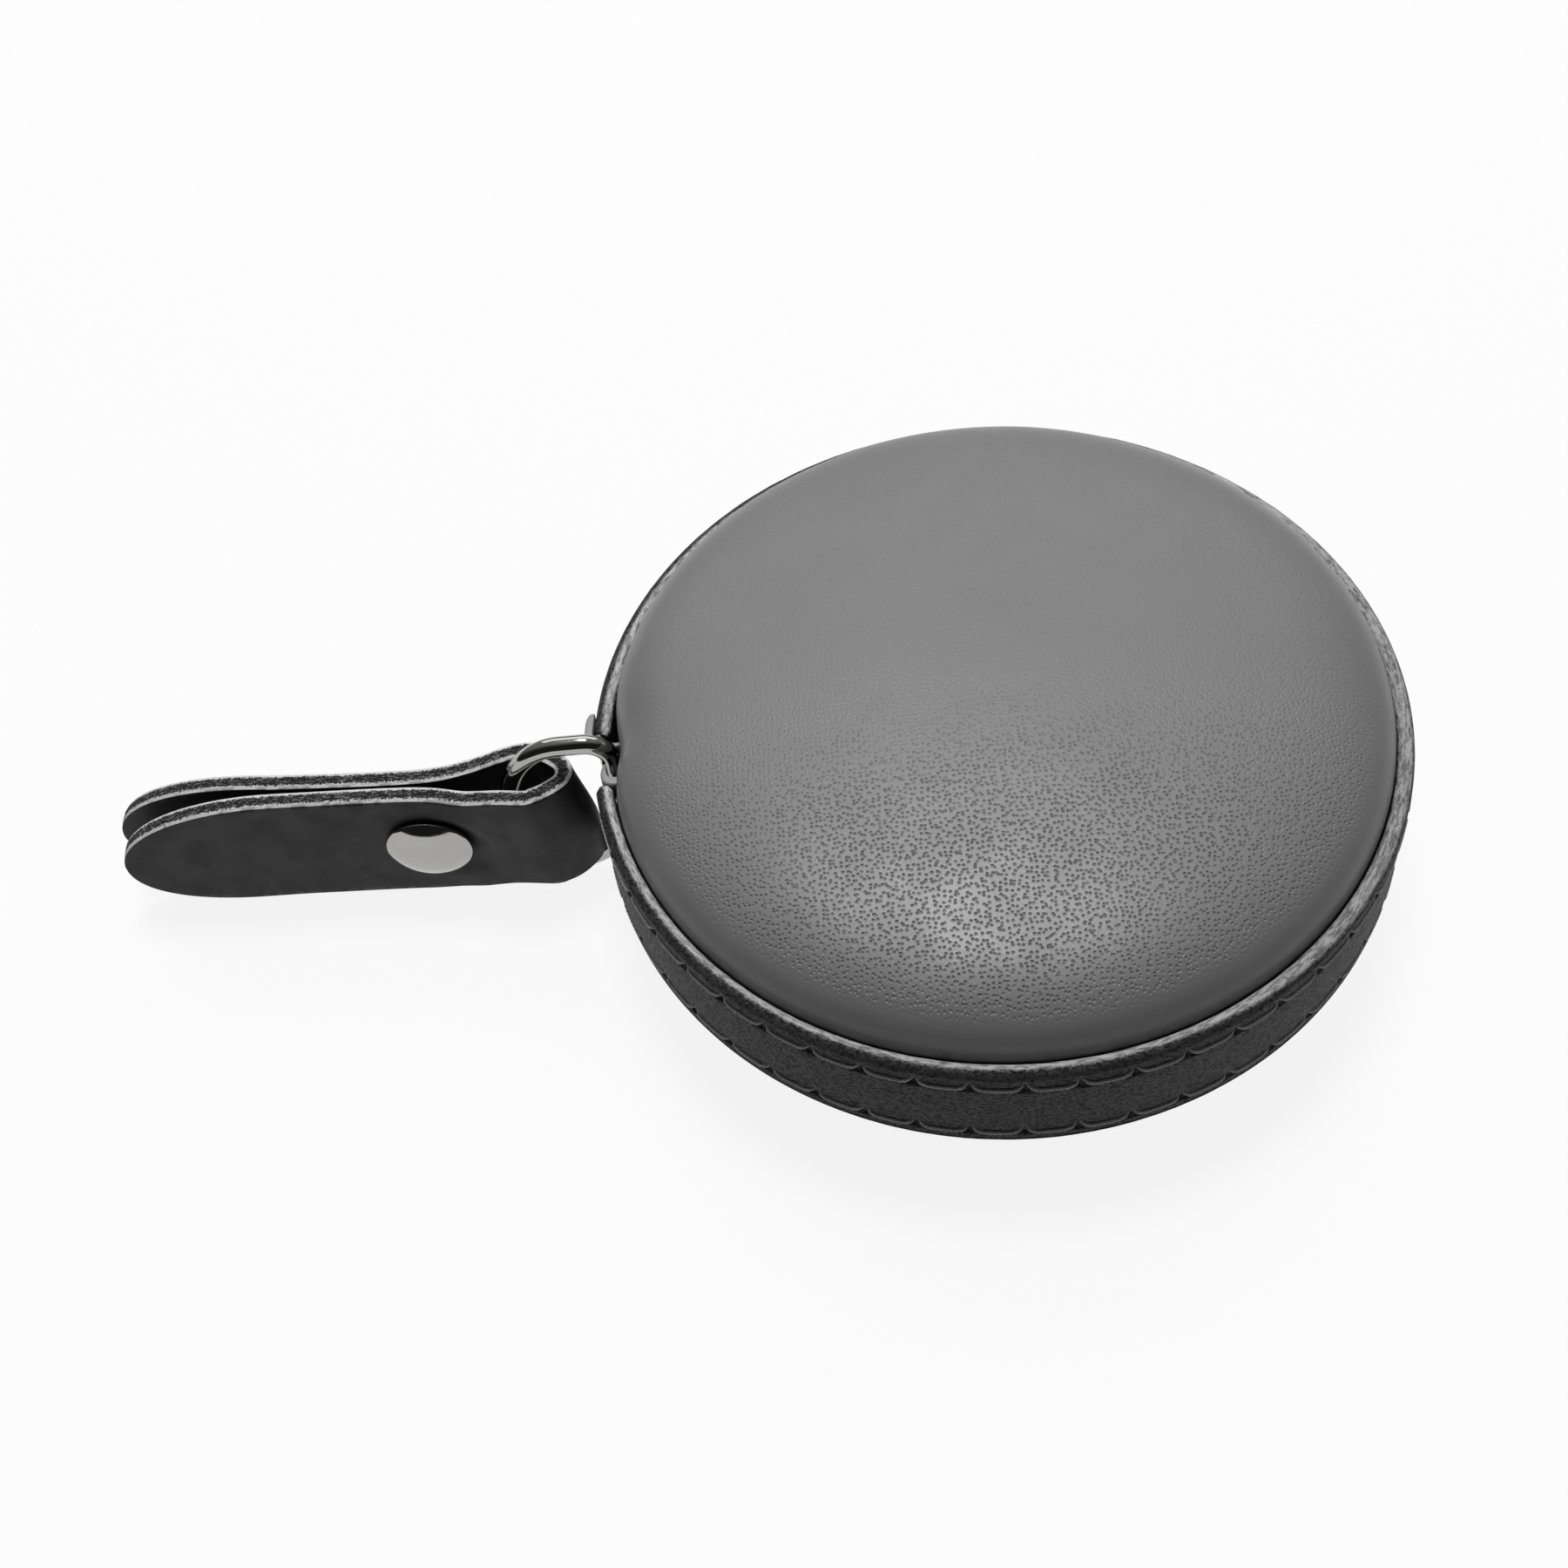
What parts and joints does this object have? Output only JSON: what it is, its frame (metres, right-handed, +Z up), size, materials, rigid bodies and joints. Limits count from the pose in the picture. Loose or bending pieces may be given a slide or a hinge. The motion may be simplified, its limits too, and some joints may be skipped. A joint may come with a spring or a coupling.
{
  "type": "retractable cloth tape measure",
  "caption": "Round retractable cloth tape measure in a padded, stitched leather case, with a spring reel, push button brake, D-ring and a folded leather pull tab.",
  "frame": {"origin": "on the reel's axis, at the flat patch under the bottom cover that the case rests on", "axes": "+Z up along the reel's axis through the padded top; the tape leaves along -X, where the mouth, D-ring and pull tab are"},
  "size_m": [0.0818, 0.05, 0.0168],
  "materials": {
    "cover_leather": "semi-matt grained leather, mid grey",
    "band_leather": "fine grained leather, dark grey",
    "tab_leather": "smooth dark grey leather with raw cut edges",
    "thread": "twisted grey thread",
    "nickel": "polished nickel plate",
    "spring_steel": "bright spring steel",
    "grey_plastic": "smooth grey moulding",
    "black_plastic": "moulded black plastic",
    "foam": "open cell foam",
    "tape_cloth": "coated cloth tape with printed scale",
    "felt": "brake felt"
  },
  "bodies": {
    "case": {"top_cover": "cover_leather", "bottom_cover": "cover_leather", "side_band": "band_leather", "top_seam_thread": "thread", "bottom_seam_thread": "thread", "top_pad": "foam", "bottom_pad": "foam", "upper_shell": "black_plastic", "lower_shell": "black_plastic", "tape_mouth": "grey_plastic", "main_spring": "spring_steel", "reel_washer": "spring_steel", "button_spring": "spring_steel"},
    "reel": {"tape_reel": "grey_plastic", "reel_cover": "grey_plastic", "tape_coil": "tape_cloth"},
    "tape_end": {"tape_lead": "tape_cloth", "tape_end_clip": "nickel"},
    "button": {"button_plunger": "black_plastic", "brake_disc": "felt"},
    "link": {"d_ring": "nickel"},
    "tab": {"pull_tab": "tab_leather", "rivet_cap": "nickel", "rivet_back": "nickel"}
  },
  "joints": [
    {"name": "tape_pull", "type": "slide", "parent": "case", "child": "tape_end", "axis": [-1, 0, 0], "range_m": [0, 1.5], "stiffness_N_per_m": 0.6, "springref_m": -2, "deforming": ["tape_lead"]},
    {"name": "reel_spin", "type": "hinge", "parent": "case", "child": "reel", "pos_m": [0, 0, 0.0084], "axis": [0, 0, 1], "range_deg": [-5020, 0]},
    {"name": "button_press", "type": "slide", "parent": "case", "child": "button", "axis": [0, 0, -1], "range_m": [0, 0.0008], "stiffness_N_per_m": 1500, "springref_m": -0.001, "deforming": ["button_spring"]},
    {"name": "ring_swing", "type": "hinge", "parent": "tape_end", "child": "link", "pos_m": [-0.0241, 0, 0.0084], "axis": [0, 0, 1], "range_deg": [-30, 30]},
    {"name": "tab_swing", "type": "hinge", "parent": "link", "child": "tab", "pos_m": [-0.03, 0, 0.0084], "axis": [0, 0, 1], "range_deg": [-21, 18]}
  ],
  "couplings": [
    {"joint": "reel_spin", "follows": "tape_pull", "rad_per_m": -58.3}
  ]
}
